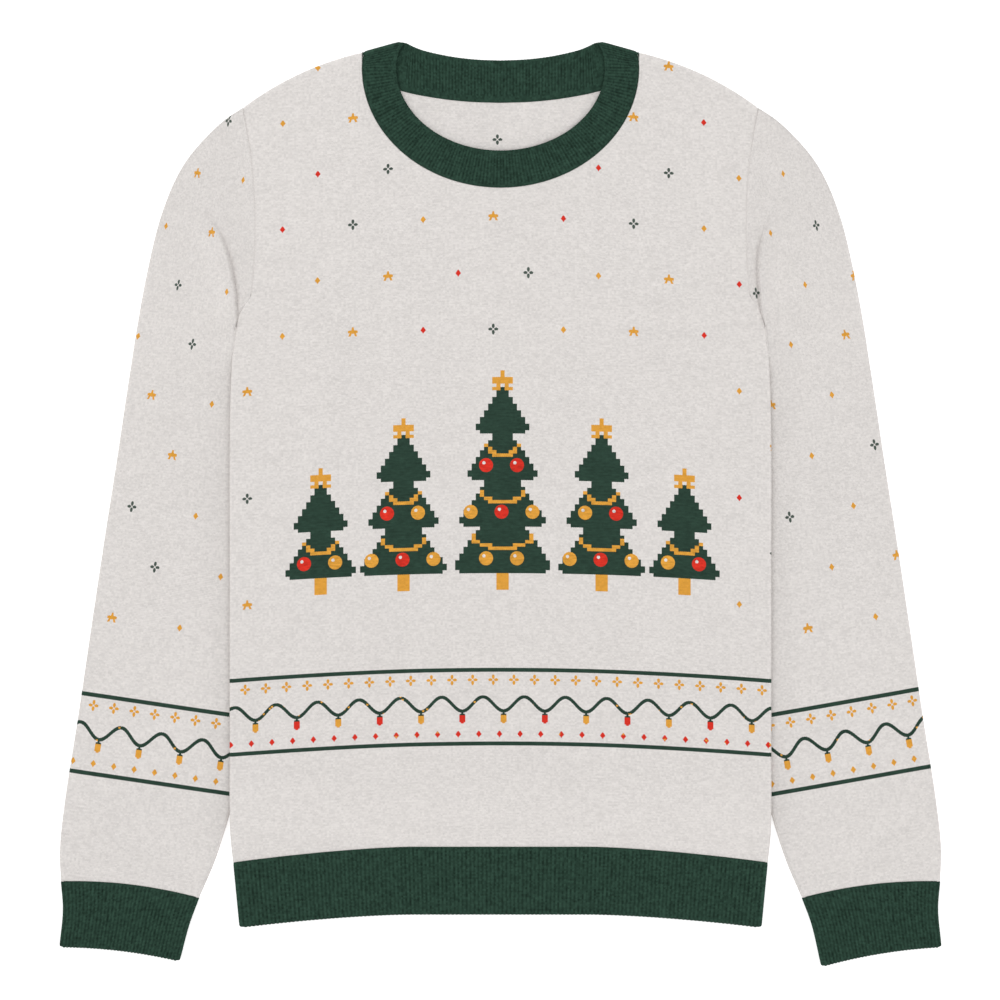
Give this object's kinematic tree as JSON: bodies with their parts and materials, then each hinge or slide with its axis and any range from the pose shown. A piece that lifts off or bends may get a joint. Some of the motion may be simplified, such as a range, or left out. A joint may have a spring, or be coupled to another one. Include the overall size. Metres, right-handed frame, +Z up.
{
  "type": "christmas sweater",
  "caption": "Long-sleeved crew-neck Christmas sweater laid flat, front up, with sewn front, back and sleeves and a ribbed neckband, hem and cuffs.",
  "frame": {"origin": "on the surface the sweater lies on, under the middle of its laid-out box", "axes": "+Z up off the surface and out of the sweater's front, +Y from hem to neck, +X towards the wearer's left sleeve"},
  "size_m": [0.7064, 0.7405, 0.0096],
  "materials": {
    "knit_light": "matt fine-gauge jersey knit, pale heathered grey, with knitted motifs in green, mustard and red",
    "rib_green": "matt one-by-one rib knit, dark green, slightly heathered"
  },
  "bodies": {
    "root": {"front_panel": "knit_light", "back_panel": "knit_light", "sleeve_left": "knit_light", "sleeve_right": "knit_light", "cuff_left": "rib_green", "cuff_right": "rib_green", "hem_front": "rib_green", "hem_back": "rib_green", "neckband": "rib_green"}
  },
  "joints": []
}
